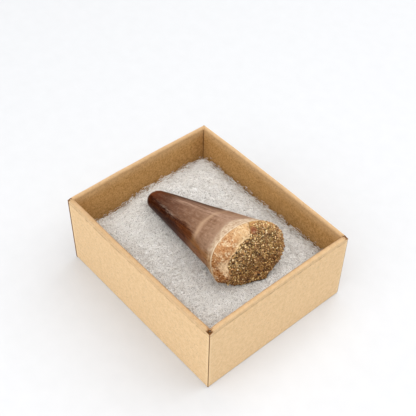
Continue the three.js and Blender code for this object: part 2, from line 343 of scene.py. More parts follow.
class Paint:
    """A material and the nodes that feed its shader."""

    def __init__(self, name, **constants):
        self.material = bpy.data.materials.new(name)
        self.material.use_nodes = True
        self.nodes = self.material.node_tree.nodes
        self.links = self.material.node_tree.links
        self.shader = self.nodes["Principled BSDF"]
        for socket, value in constants.items():
            self.shader.inputs[socket.replace("_", " ")].default_value = value

    def node(self, kind, settings=None, inputs=None, output=0):
        """Adds a node, sets what it does, fills its sockets, and returns one of its outputs."""
        made = self.nodes.new(kind)
        for setting, value in (settings or {}).items():
            if setting == "stops":
                self.set_stops(made.color_ramp, value)
            else:
                setattr(made, setting, value)
        for socket, value in (inputs or {}).items():
            self.fill(made.inputs[socket], value)
        return Wire(self, made.outputs[output])

    def set_stops(self, ramp, stops):
        while len(ramp.elements) < len(stops):
            ramp.elements.new(0.5)
        for element, (place, *colour) in zip(ramp.elements, stops):
            element.position = place
            element.color = (*srgb(*colour), 1)

    def fill(self, socket, value):
        if isinstance(value, Wire):
            self.links.new(value.socket, socket)
        elif socket.type == "RGBA" and len(value) == 3:
            socket.default_value = (*value, 1)
        else:
            socket.default_value = value

    def feed(self, socket, value):
        self.fill(self.shader.inputs[socket], value)

    def attributes(self, *names):
        """The masks that the mesh keeps under these names."""
        kind = "ShaderNodeAttribute"
        return [self.node(kind, {"attribute_name": name}, output="Fac") for name in names]

    def place(self, scale=(1, 1, 1)):
        """Object coordinates in metres, stretched."""
        where = self.node("ShaderNodeTexCoord", output="Object")
        inputs = {"Vector": where, "Scale": scale}
        return self.node("ShaderNodeMapping", {"vector_type": "TEXTURE"}, inputs)

    def noise(self, pitch, where=None, detail=2.0, roughness=0.5, twist=0.0):
        """Noise from 0 to 1 whose lumps are about a pitch in millimetres apart."""
        inputs = {
            "Vector": where or self.place(),
            "Scale": 1 / (pitch * MM),
            "Detail": detail,
            "Roughness": roughness,
            "Distortion": twist,
        }
        return self.node("ShaderNodeTexNoise", None, inputs)

    def cells(self, pitch):
        """Cells about a pitch in millimetres apart, each with a colour of its own."""
        inputs = {"Vector": self.place(), "Scale": 1 / (pitch * MM)}
        return self.node("ShaderNodeTexVoronoi", None, inputs, "Color")

    def web(self, lines):
        """Fine curling lines, a set for each pitch and width: where a noise crosses its middle."""
        sets = []
        for pitch, width in lines:
            away = (self.noise(pitch, detail=1, twist=0.8) - 0.5).math("ABSOLUTE")
            sets.append((1 - away * (1 / width)).clamped())
        found, *others = sets
        for other in others:
            found = found.math("MAXIMUM", other)
        return found

    def step(self, value, low, high):
        """A soft step from 0 at low to 1 at high."""
        return self.node(
            "ShaderNodeMapRange",
            {"interpolation_type": "SMOOTHSTEP"},
            {"Value": value, "From Min": low, "From Max": high, "To Min": 0.0, "To Max": 1.0},
        )

    def span(self, value, low, high):
        """A number from 0 to 1 stretched to run from low to high."""
        return value * (high - low) + low

    def mix(self, share, first, second, blend="MIX"):
        settings = {"data_type": "RGBA", "blend_type": blend}
        return self.node("ShaderNodeMix", settings, {0: share, 6: first, 7: second}, output=2)

    def over(self, colour, *layers):
        """Lays one layer after another over a colour. Each is its share and its own colour."""
        for share, layer in layers:
            colour = self.mix(share, colour, layer)
        return colour

    def ramp(self, value, stops):
        """A ramp of colours. Each stop is its place and its colour on the screen."""
        return self.node("ShaderNodeValToRGB", {"stops": stops}, {"Fac": value})

    def bump(self, height, distance):
        """Feeds the shader's normal. The distance is the relief's depth in millimetres."""
        inputs = {"Height": height, "Distance": distance * MM, "Strength": 1.0}
        self.feed("Normal", self.node("ShaderNodeBump", None, inputs))


def kraft_paint(tray):
    """Kraft board: mottled, with short pulp fibres, paler where rubbed, with painted shade inside
    the tray and along its creases, seams and rims.
    """
    paint = Paint("kraft_board", Roughness=0.82, Specular_IOR_Level=0.25)
    inside, rubbed, creased = paint.attributes("inside", "rubbed", "creased")
    along_x, along_y = (
        paint.noise(0.16, paint.place(stretch), detail=2) for stretch in ((7, 1, 1), (1, 7, 1))
    )
    fibres = paint.step(along_x.math("MAXIMUM", along_y), 0.56, 0.74)
    cloud = paint.step(paint.noise(1.6, detail=5, roughness=0.75), 0.32, 0.68)
    mottle = paint.noise(0.6, detail=3, roughness=0.7)
    speck = paint.step(paint.noise(0.6, detail=1), 0.6, 0.7)
    pulp = paint.noise(0.75, detail=3, roughness=0.8)
    # Inside the tray the board's tones, mottle, fibres and pulp blotches are darker. This is
    # painted shade: the inner panels are the same board as the outside.
    outer = paint.mix(cloud, tray.outer_dark, tray.outer_pale)
    inner = paint.mix(cloud, tray.inner_shaded_dark, tray.inner_shaded_pale)
    mottled = paint.mix(inside, srgb(246, 220, 178), srgb(178, 134, 82))
    fibrous = paint.mix(inside, srgb(248, 222, 180), srgb(184, 142, 92))
    board = paint.over(
        paint.mix(inside, outer, inner),
        (paint.step(mottle, 0.45, 0.7) * 0.4, mottled),
        (fibres * 0.28, fibrous),
        (paint.step(pulp, 0.5, 0.6) * inside * 0.5, srgb(204, 162, 106)),
        (paint.step(pulp, 0.48, 0.38) * inside * 0.5, srgb(128, 88, 44)),
        (speck * 0.28, srgb(122, 82, 44)),
        (rubbed * paint.span(mottle, 0.45, 1.0), srgb(248, 220, 176)),
        # Painted shade along the score creases, corner seams, torn rim ends and rim tops.
        (creased, srgb(116, 74, 36)),
    )
    paint.feed("Base Color", board)
    paint.feed("Roughness", paint.span(mottle, 0.72, 0.92))
    paint.bump(fibres * 0.4 + mottle * 0.6 + paint.noise(0.2, detail=2) * 0.4, 0.05)
    return paint.material


def batting_paint(batting):
    """The felted body of the batting, under its loose fibres, with painted shade in its gaps and by
    the walls.
    """
    paint = Paint("batting_felt", Roughness=0.95, Specular_IOR_Level=0.1)
    [sunk] = paint.attributes("sunk")
    tuft = paint.noise(2.4, detail=3, roughness=0.6)
    fuzz = paint.noise(0.6, detail=3, roughness=0.85, twist=1.5)
    web = paint.web(((1.3, 0.04), (0.8, 0.05), (0.5, 0.06)))
    speck = paint.noise(0.4, detail=2, roughness=0.8, twist=0.6)
    felt = paint.over(
        paint.mix(paint.step(tuft, 0.3, 0.68), batting.felt_shade, batting.felt),
        # Painted shade between the fibres: grey gaps where the fuzz is low, and dark specks.
        (paint.step(fuzz, 0.56, 0.4) * 0.7, srgb(166, 158, 152)),
        (web * 0.8, srgb(255, 254, 252)),
        (paint.step(speck, 0.47, 0.37) * 0.8, srgb(112, 100, 88)),
        # Brown painted shade where the batting opens by the walls, with the kraft's warm reflected
        # light.
        (sunk * paint.step(fuzz, 0.7, 0.4), srgb(124, 92, 60)),
    )
    paint.feed("Base Color", felt)
    paint.bump(web * 0.5 + fuzz * 0.5 + tuft * 0.6, 0.35)
    return paint.material


def fibre_paint(name, batting):
    """Loose polyester fibre: each bundle has its own tone, a little uneven along its length."""
    paint = Paint(name, Roughness=0.5, Specular_IOR_Level=0.4)
    [tone] = paint.attributes("tone")
    share = (tone + (paint.noise(0.9, detail=2) - 0.5) * 0.5).clamped()
    paint.feed("Base Color", paint.mix(share, batting.grey, batting.pale))
    return paint.material


# The upper face's mauve-grey is partly painted sheen, and the lower flank's dark brown is partly
# painted shade.
UPPER_ENAMEL_AND_SHEEN = (
    (0.0, 108, 48, 10),
    (0.09, 74, 31, 9),
    (0.2, 72, 41, 25),
    (0.36, 98, 67, 50),
    (0.72, 131, 99, 76),
    (1.0, 154, 124, 101),
)
LOWER_ENAMEL_AND_SHADE = (
    (0.0, 72, 22, 1),
    (0.1, 38, 7, 0),
    (0.3, 40, 10, 0),
    (0.44, 54, 20, 3),
    (0.62, 88, 45, 15),
    (0.8, 138, 92, 52),
    (1.0, 150, 110, 70),
)


def enamel_colour(paint, station, streaks, dashes, hairlines, cloud, mottle):
    """Mauve above and dark brown below, partly painted sheen and painted shade, with streaks,
    painted highlights, a pale ring and a pale band at the edge.
    """
    upper, crest, keel, glints = paint.attributes("upper", "crest", "keel", "glints")
    ring, band, edge = paint.attributes("ring", "band", "edge_line")
    along = (station + (streaks - 0.5) * 0.16 + (cloud - 0.5) * 0.14).clamped()
    # The face mask picks the upper colours, partly painted sheen, over the lower ones, partly
    # painted shade.
    face = paint.step(upper + (streaks - 0.5) * 1.1 + (mottle - 0.5) * 0.4, 0.1, 0.9)

    def by_face(low, high):
        return paint.mix(face, low, high)

    lighter = (station * 1.1 + 0.12).clamped() * (0.75 - face * 0.3)
    patchy = paint.step(mottle, 0.35, 0.65)
    pale = by_face(
        paint.mix(patchy, srgb(140, 102, 66), srgb(186, 152, 112)),
        paint.mix(patchy, srgb(160, 130, 103), srgb(200, 178, 152)),
    )
    at_band = paint.step(band + (mottle - 0.5) * 0.5 + (streaks - 0.5) * 0.6, 0.0, 0.95)
    at_ring = (ring * paint.span(mottle, 0.2, 1.1)).clamped()
    return paint.over(
        by_face(paint.ramp(along, LOWER_ENAMEL_AND_SHADE), paint.ramp(along, UPPER_ENAMEL_AND_SHEEN)),
        # Painted highlight along the crown's top.
        (crest * paint.step(streaks, 0.36, 0.62), srgb(172, 140, 118)),
        (paint.step(streaks, 0.53, 0.63) * lighter, by_face(srgb(118, 60, 24), srgb(154, 120, 98))),
        (paint.step(streaks, 0.47, 0.37) * (0.9 - face * 0.74), srgb(32, 7, 0)),
        (paint.step(dashes, 0.6, 0.74) * (0.2 + face * 0.14), srgb(176, 126, 90)),
        (paint.step(dashes, 0.42, 0.28) * (0.6 - face * 0.52), srgb(44, 14, 3)),
        (paint.step(mottle, 0.5, 0.66) * 0.36, by_face(srgb(82, 44, 24), srgb(92, 56, 40))),
        (paint.step(mottle, 0.48, 0.34) * face * station * 0.42, srgb(174, 144, 124)),
        # Painted highlights: short glints along the facet edge.
        (glints * paint.step(hairlines, 0.5, 0.7), srgb(206, 182, 162)),
        # Painted shade along the far edge, where the crown turns away.
        (keel * paint.span(streaks, 0.6, 1.2), srgb(50, 20, 6)),
        (at_ring, by_face(srgb(172, 132, 90), srgb(186, 154, 124))),
        (at_band, pale),
        (edge, srgb(226, 206, 174)),
    )


def root_colour(paint, mottle, pore):
    """Porous tan root: darker and dotted below, paler above, with a pale lip and a chalky patch."""
    low, high, lip, chalk = paint.attributes("low_root", "high_root", "lip", "chalk")
    patch = paint.noise(2.6, detail=3, roughness=0.6)
    dots = paint.step(paint.noise(0.5, detail=2) + low * 0.06, 0.57, 0.67)
    low_tone = paint.mix(paint.step(pore, 0.38, 0.6), srgb(126, 74, 32), srgb(176, 128, 80))
    return paint.over(
        paint.mix(paint.step(pore, 0.34, 0.62), srgb(162, 108, 64), srgb(194, 150, 106)),
        (high * paint.span(pore, 0.2, 1.1), srgb(202, 171, 128)),
        (low * 0.8, low_tone),
        (paint.step(patch, 0.48, 0.66) * paint.step(pore, 0.4, 0.6), srgb(228, 206, 170)),
        (paint.step(pore, 0.6, 0.76), srgb(232, 210, 174)),
        (dots * (0.6 + low * 0.35), srgb(104, 52, 18)),
        ((lip * paint.span(mottle, 0.5, 1.3)).clamped(), srgb(222, 194, 150)),
        ((chalk * paint.span(pore, -0.5, 1.9)).clamped(), srgb(226, 198, 160)),
    )


def tooth_paint():
    """Fossil enamel with the porous root beyond it."""
    paint = Paint("fossil_enamel", Roughness=0.3, Specular_IOR_Level=0.06)
    station, root, round_x, round_y = paint.attributes("station", "root", "round_x", "round_y")
    long_run, short_run = (
        paint.node("ShaderNodeCombineXYZ", None, {"X": round_x, "Y": round_y, "Z": station * run})
        for run in (STREAK_RUN, 3 * STREAK_RUN)
    )
    streaks = paint.noise(0.9, long_run, detail=4, roughness=0.75)
    dashes = paint.noise(0.5, short_run, detail=2, roughness=0.7)
    hairlines = paint.noise(0.25, long_run, detail=2)
    cloud = paint.noise(4.5, detail=4, roughness=0.6)
    mottle = paint.noise(1.1, detail=4, roughness=0.7)
    pore = paint.noise(0.8, detail=4, roughness=0.75, twist=0.8)
    enamel = enamel_colour(paint, station, streaks, dashes, hairlines, cloud, mottle)
    paint.feed("Base Color", paint.mix(root, enamel, root_colour(paint, mottle, pore)))
    gloss = paint.span(streaks, 0.2, 0.42) + (cloud - 0.5) * 0.1
    paint.feed("Roughness", gloss * (1 - root) + root * 0.8)
    lines = streaks * 0.6 + hairlines * 0.3 + dashes * 0.3
    paint.bump(lines * (1 - root) + pore * root * 5.0, 0.05)
    return paint.material


SANDY = (
    (0.0, 48, 27, 9),
    (0.24, 84, 55, 25),
    (0.5, 136, 99, 56),
    (0.7, 182, 139, 83),
    (0.85, 230, 195, 134),
    (0.98, 255, 243, 210),
)
GOLDEN = (
    (0.0, 72, 42, 18),
    (0.4, 146, 104, 58),
    (0.7, 206, 164, 106),
    (1.0, 252, 232, 190),
)


def rock_paint():
    """Sandy rock with a golden crust: every grain has its own tone."""
    paint = Paint("sandy_rock", Roughness=0.85, Specular_IOR_Level=0.4)
    tone, crust, brown, red = paint.attributes("tone", "crust", "brown", "red")
    fine = paint.noise(0.45, detail=4, roughness=0.7)
    grains = paint.cells(0.5)
    value = tone * 0.8 + fine * 0.5 + grains * 0.3 - 0.32
    colour = paint.mix(crust, paint.ramp(value, SANDY), paint.ramp(value, GOLDEN))
    colour = paint.mix(0.1, colour, grains, "OVERLAY")
    colour = paint.mix(brown, colour, srgb(240, 231, 214), "MULTIPLY")
    paint.feed("Base Color", paint.mix(red * 0.65, colour, srgb(134, 62, 36)))
    paint.feed("Roughness", paint.span(fine, 0.6, 1.0))
    paint.bump(fine, 0.12)
    return paint.material


# ---- settings ----


def size(name, description, millimetres):
    metres = millimetres * MM
    return FloatProperty(
        name=name, description=description, default=metres, unit="LENGTH", subtype="DISTANCE"
    )


def colour(name, description, *channels):
    linear = srgb(*channels)
    return FloatVectorProperty(
        name=name, description=description, default=linear, subtype="COLOR", size=3
    )


class TraySettings(bpy.types.PropertyGroup):
    """Sizes and colours of the folded tray."""

    board: size("Board", "Thickness of the kraft board", 0.45)
    wall: size("Wall", "Thickness of the rolled wall, both panels together", WALL)
    notch: size("Corner notch", "How far from the corner the rolled rims stop", 1.1)
    seam: size("Corner seam", "Open seam down each upright corner", 0.12)
    outer_pale: colour("Outside, pale", "Paler tone of the board outside", 231, 197, 153)
    outer_dark: colour("Outside, dark", "Darker tone of the board outside", 216, 181, 134)
    # The inside tones are the outside board's tones darkened with painted shade.
    inner_shaded_pale: colour("Inside, pale", "Paler tone of the board inside the tray", 192, 147, 88)
    inner_shaded_dark: colour("Inside, dark", "Darker tone of the board inside the tray", 170, 126, 71)


class BattingSettings(bpy.types.PropertyGroup):
    """Form and colours of the batting."""

    level: size("Level", "Height of its middle over the table", 20.8)
    tufts: size("Tufts", "Height of the tufts on its top", 0.3)
    fibre: size("Fibre", "Thickness of a fibre bundle", 0.13)
    fibres: IntProperty(
        name="Fibres", description="Fibre bundles in a full layer", default=4600, min=100, max=6000
    )
    felt: colour("Felt", "Colour of the felted body", 249, 245, 239)
    felt_shade: colour("Felt shade", "Colour between the tufts", 230, 223, 215)
    pale: colour("Pale fibre", "Colour of the palest fibres", 255, 253, 248)
    grey: colour("Grey fibre", "Colour of the greyest fibres", 178, 167, 156)


class ToothSettings(bpy.types.PropertyGroup):
    """Relief of the tooth."""

    striae: size("Striae", "Height of the fine lines along the enamel", 0.03)
    enamel: size("Enamel", "Thickness of the enamel at its broken edge", 0.25)
    pits: size("Pits", "Depth of the pores in the root", 0.32)
    ring: FloatProperty(
        name="Ring", description="Station of the pale growth ring", default=0.675, min=0, max=1
    )


class RockSettings(bpy.types.PropertyGroup):
    """Relief of the rock."""

    lumps: size("Lumps", "Unevenness of the rock", 0.34)
    grain: size("Grain", "Radius of a usual grain", 0.205)
    grains: IntProperty(
        name="Grains", description="Number of loose grains", default=7200, min=0, max=8000
    )


class StudioSettings(bpy.types.PropertyGroup):
    """Camera and light."""

    distance: size("Distance", "From the camera to what it looks at", 343.66)
    lens: FloatProperty(
        name="Lens", description="Focal length in millimetres", default=77.79, min=10, max=300
    )
    ambient: FloatProperty(
        name="Ambient", description="Strength of the light from all sides", default=0.69, min=0
    )


# ---- the tray ----

# One entry for each side, counted from -Y by way of +X. Pairs are for its start and its end.
# How far the rim stands out at its start, middle and end, in millimetres.
LEANS = ((0.15, 0.35, 0.0), (0.0, -0.45, 0.05), (0.15, 0.8, 0.4), (0.4, 1.1, 0.95))
# How far the rim stops short of the corners, in notches, and the outer panel, in seams.
NOTCHES = ((1.0, 1.1), (1.0, 1.0), (1.35, 0.55), (0.55, 1.0))
SEAMS = ((5.0, 1.0), (1.0, 1.0), (1.0, 1.0), (1.0, 0.0))
# How much painted shade darkens the rim's torn ends, and how much painted shade darkens its top,
# from 0 to 1.
TORN_END_SHADES = ((0.1, 1.0), (0.9, 0.5), (0.3, 0.0), (0.0, 0.1))
RIM_SHADES = (0.14, 0.07, 0.0, 0.05)
RAGGED = 0.4  # unevenness of the rims' ends
RIM_FROM = 30.3  # the rim is what stands higher than this
SCORE_HEIGHT = 28.95  # of the line along which the rim is folded
ROLL_STEPS = 12
WALL_COLUMNS, CROWDING = 84, 1.7  # and how much closer the columns lie near a wall's ends
INNER_GAP = 0.12  # from the end of an inner panel to the next wall
FLOOR = 0.8
TAB_COLUMNS, TAB_ROWS = 14, 6
TAB_REACH, TAB_BEND = 7.0, 0.5


class FOSSIL_OT_fold_tray(bpy.types.Operator):
    """Folds the tray: four double walls with rolled rims, corner tabs and a floor"""

    bl_idname = "fossil.fold_tray"
    bl_label = "Fold the tray"

    def execute(self, context):
        tray = context.scene.fossil_tray
        self.board, self.wall = tray.board / MM, tray.wall / MM
        self.notch, self.seam = tray.notch / MM, tray.seam / MM
        self.half = [(TRAY_HIGH[axis] - TRAY_LOW[axis]) / 2 / MM for axis in (0, 1)]
        self.height = TRAY_HIGH.z / MM
        whole = bmesh.new()
        for mask in ("inside", "rubbed", "creased"):
            whole.verts.layers.float.new(mask)
        for side in range(4):
            for part in (self.wall_sheet(side), self.corner_tab(side)):
                self.join(whole, part, side)
        self.join(whole, self.floor_sheet(), 0)
        self.lean(whole)
        piece = finish_piece("folded_tray", whole, kraft_paint(tray), "kraft_tray")
        piece.data.set_sharp_from_angle(angle=math.radians(40))
        return {"FINISHED"}

    def join(self, whole, part, side):
        """Turns a finished part to its side of the tray and adds it to the whole."""
        turn = Matrix.Rotation(side * math.pi / 2, 4, "Z")
        bmesh.ops.transform(part, matrix=turn, verts=part.verts)
        data = to_data("part", part)
        whole.from_mesh(data)
        bpy.data.meshes.remove(data)

    def lean(self, whole):
        """Leans and bows the walls a little, and keeps their corners together."""
        places = np.array([v.co for v in whole.verts])
        moved = places.copy()
        up = np.clip((places[:, 2] - 1) / (self.height - 1), 0, 1)
        for side, (start, middle, end) in enumerate(LEANS):
            turn = side * math.pi / 2
            outwards = np.array((math.sin(turn), -math.cos(turn)))
            along = np.array((math.cos(turn), math.sin(turn)))
            share = places[:, :2] @ along / self.half[side % 2]
            straight = lerp(start, end, (share + 1) / 2)
            bow = straight + (middle - (start + end) / 2) * (1 - share**2)
            reach = self.half[1 - side % 2]
            near = smooth(places[:, :2] @ outwards, reach - 14, reach - 2.5)
            moved[:, :2] += (bow * near * up)[:, None] * outwards
        put(whole, moved)

    def section(self):
        """Rows up the outer panel, over the rolled rim and down the inner panel.

        Each row is its depth, its height, how far it is inside (darkened with painted shade), how
        rubbed it is, and how much painted shade and creasing darken it.
        """
        radius = self.wall / 2
        rows = [(0.55, 0.0, 0, 0.3, 0), (0.16, 0.14, 0, 0.7, 0), (0.0, 0.55, 0, 0.3, 0)]
        rows += [(0.0, z, 0, 0, 0) for z in (1, 4, 8, 12, 16, 20, 23.5, 26.5, 28.2)]
        rows += [(0.02, 28.75, 0, 0.1, 0.04), (0.1, SCORE_HEIGHT, 0, 0, 0.1)]
        rows += [(0.02, 29.15, 0, 0, 0.14), (0.0, 29.5, 0, 0, 0.12)]
        for step in range(ROLL_STEPS + 1):
            share = step / ROLL_STEPS
            turn = math.pi * step / ROLL_STEPS
            depth = radius - radius * math.cos(turn)
            height = self.height - radius + radius * math.sin(turn)
            # Painted shade: the roll darkens as it turns inwards and down its inner side.
            inside = 0.05 + 0.45 * float(smooth(share, 0.6, 1))
            rubbed = 0.2 * float(bump_at(share, 0.12, 0.1))
            creased = 0.12 + 0.3 * float(bump_at(share, 0.62, 0.34))
            rows.append((depth, height, inside, rubbed, creased))
        # The inner panel takes the inside mask, which is painted shade.
        rows += [(self.wall, 29.3, 0.6, 0, 0.08)]
        rows += [(self.wall, z, inside, 0, 0) for z, inside in ((28.4, 0.76), (27.4, 0.88))]
        rows += [(self.wall, z, 1, 0, 0) for z in (26, 24.5, 23, 21, 19, 16, 12, 8, 4, 0.9)]
        return rows

    def wall_sheet(self, side):
        """A wall along X with its outer face towards -Y, folded from one strip of board."""
        rows = self.section()
        half, reach = self.half[side % 2], self.half[1 - side % 2]
        mesh = bmesh.new()
        share, row_share = grid_places(mesh, WALL_COLUMNS, len(rows) - 1)
        row = np.round(row_share * (len(rows) - 1)).astype(int)
        columns = (np.array(column)[row] for column in zip(*rows))
        depth, height, inside, rubbed, creased = columns
        run = 2 * share - 1
        run = np.sign(run) * (1 - (1 - np.abs(run)) ** CROWDING)

        def at_ends(pair):
            return np.where(run < 0, *pair)

        rim = (height > RIM_FROM) & (depth < self.wall)
        inner = depth >= self.wall
        notch = at_ends(NOTCHES[side]) * self.notch
        notch = notch + RAGGED * np.sin(row * 2.1 + side * 1.7 + np.sign(run))
        seam = at_ends(SEAMS[side]) * self.seam
        inner_end = half - self.wall - INNER_GAP
        ends = np.where(rim, half - notch, np.where(inner, inner_end, half - seam))
        x = run * ends
        from_corner = smooth(1 - (x / half) ** 2, 0, 0.3)
        wave = noise_at((a * 0.05, side * 3.3, 0.4) for a in x)
        depth = depth + 0.16 * wave * smooth(height, 2, self.height) * from_corner
        sag = 0.14 * noise_at((a * 0.09, side * 5.1, 2.4) for a in x)
        height = height + sag * smooth(height, 20, self.height) * from_corner
        put(mesh, np.stack([x, depth - reach, height], axis=1))

        from_end = half - seam - np.abs(x)
        outside = ~inner & (row < len(rows) // 2)
        worn = bump_at(from_end, 0.55, 0.4) * outside
        tear_width = 0.2 + 0.75 * (1 + np.sin(row * 2.6 + side * 2.2 + np.sign(run)))
        # Painted shade at the rim's ragged ends, where the corner holes show dark.
        torn_end_shade = 0.9 * rim * at_ends(TORN_END_SHADES[side]) * (1 - smooth(ends - np.abs(x), 0, tear_width))
        broken = 0.55 + 1.3 * noise_at((a * 0.9, side * 2.3, 7.4) for a in x)
        # A dark line of painted shade along the score crease.
        score_crease_shade = 0.62 * bump_at(height, SCORE_HEIGHT, 0.16) * outside * np.clip(broken, 0, 1)
        # The cut ends of the panels are darkened: painted shade in the corner seams.
        cut_edge_and_seam_shade = 0.9 * (from_end < 0.06) * ~inner + 0.6 * (np.abs(run) > 0.999)
        # All of these darken the board with painted shade, and each side's rim top takes its own
        # amount.
        creased = creased + score_crease_shade + cut_edge_and_seam_shade + torn_end_shade + RIM_SHADES[side] * rim
        rubbed = np.clip(rubbed + 0.45 * worn, 0, 1)
        note(mesh, inside=inside, rubbed=rubbed, creased=np.clip(creased, 0, 1))
        bmesh.ops.recalc_face_normals(mesh, faces=mesh.faces)
        self.face_outwards(mesh)
        bmesh.ops.solidify(mesh, geom=mesh.faces[:], thickness=self.board)
        return mesh

    def face_outwards(self, mesh):
        """Turns a sheet round if the lowest part of its outer panel faces away from -Y."""

        def outermost(face):
            middle = face.calc_center_median()
            return round(middle.y, 2), middle.z

        if min(mesh.faces, key=outermost).normal.y > 0:
            bmesh.ops.reverse_faces(mesh, faces=mesh.faces[:])

    def corner_tab(self, side):
        """The tab that goes round an upright corner, between the panels of the two walls."""
        sunk = self.wall / 2 - 0.2
        x, y = self.half[side % 2] - sunk, sunk - self.half[1 - side % 2]
        mesh = bmesh.new()
        share, up = grid_places(mesh, TAB_COLUMNS, TAB_ROWS)
        run = (share - 0.5) * 2 * TAB_REACH
        plan_x = np.where(run < 0, x - TAB_BEND + np.minimum(run + TAB_BEND, 0), x)
        plan_y = np.where(run > 0, y + TAB_BEND + np.maximum(run - TAB_BEND, 0), y)
        slope = 1.6 * (np.abs(run) / TAB_REACH) ** 0.8 * up
        height = lerp(0.9, self.height - 1.0, up) - slope
        put(mesh, np.stack([plan_x, plan_y, height], axis=1))
        bmesh.ops.remove_doubles(mesh, verts=mesh.verts, dist=MERGE)
        # The tab takes the shaded inside tone and extra painted shade where it shows through the
        # corner seams.
        note(mesh, inside=1.0, rubbed=0.0, creased=0.5)
        bmesh.ops.recalc_face_normals(mesh, faces=mesh.faces)
        bmesh.ops.solidify(mesh, geom=mesh.faces[:], thickness=self.board - 0.05)
        return mesh

    def floor_sheet(self):
        mesh = bmesh.new()
        bmesh.ops.create_cube(mesh, size=1)
        across = (2 * self.half[0] - 1.0, 2 * self.half[1] - 1.0, FLOOR)
        bmesh.ops.scale(mesh, vec=across, verts=mesh.verts)
        bmesh.ops.translate(mesh, vec=(0, 0, FLOOR / 2), verts=mesh.verts)
        rounding = {"offset": 0.15, "segments": 2, "profile": 0.5}
        bmesh.ops.bevel(mesh, geom=mesh.edges[:], affect="EDGES", material=-1, **rounding)
        # The tray's floor takes part of the inside mask's painted shade.
        note(mesh, inside=0.3, rubbed=0.0, creased=0.0)
        return mesh


# ---- the tooth ----


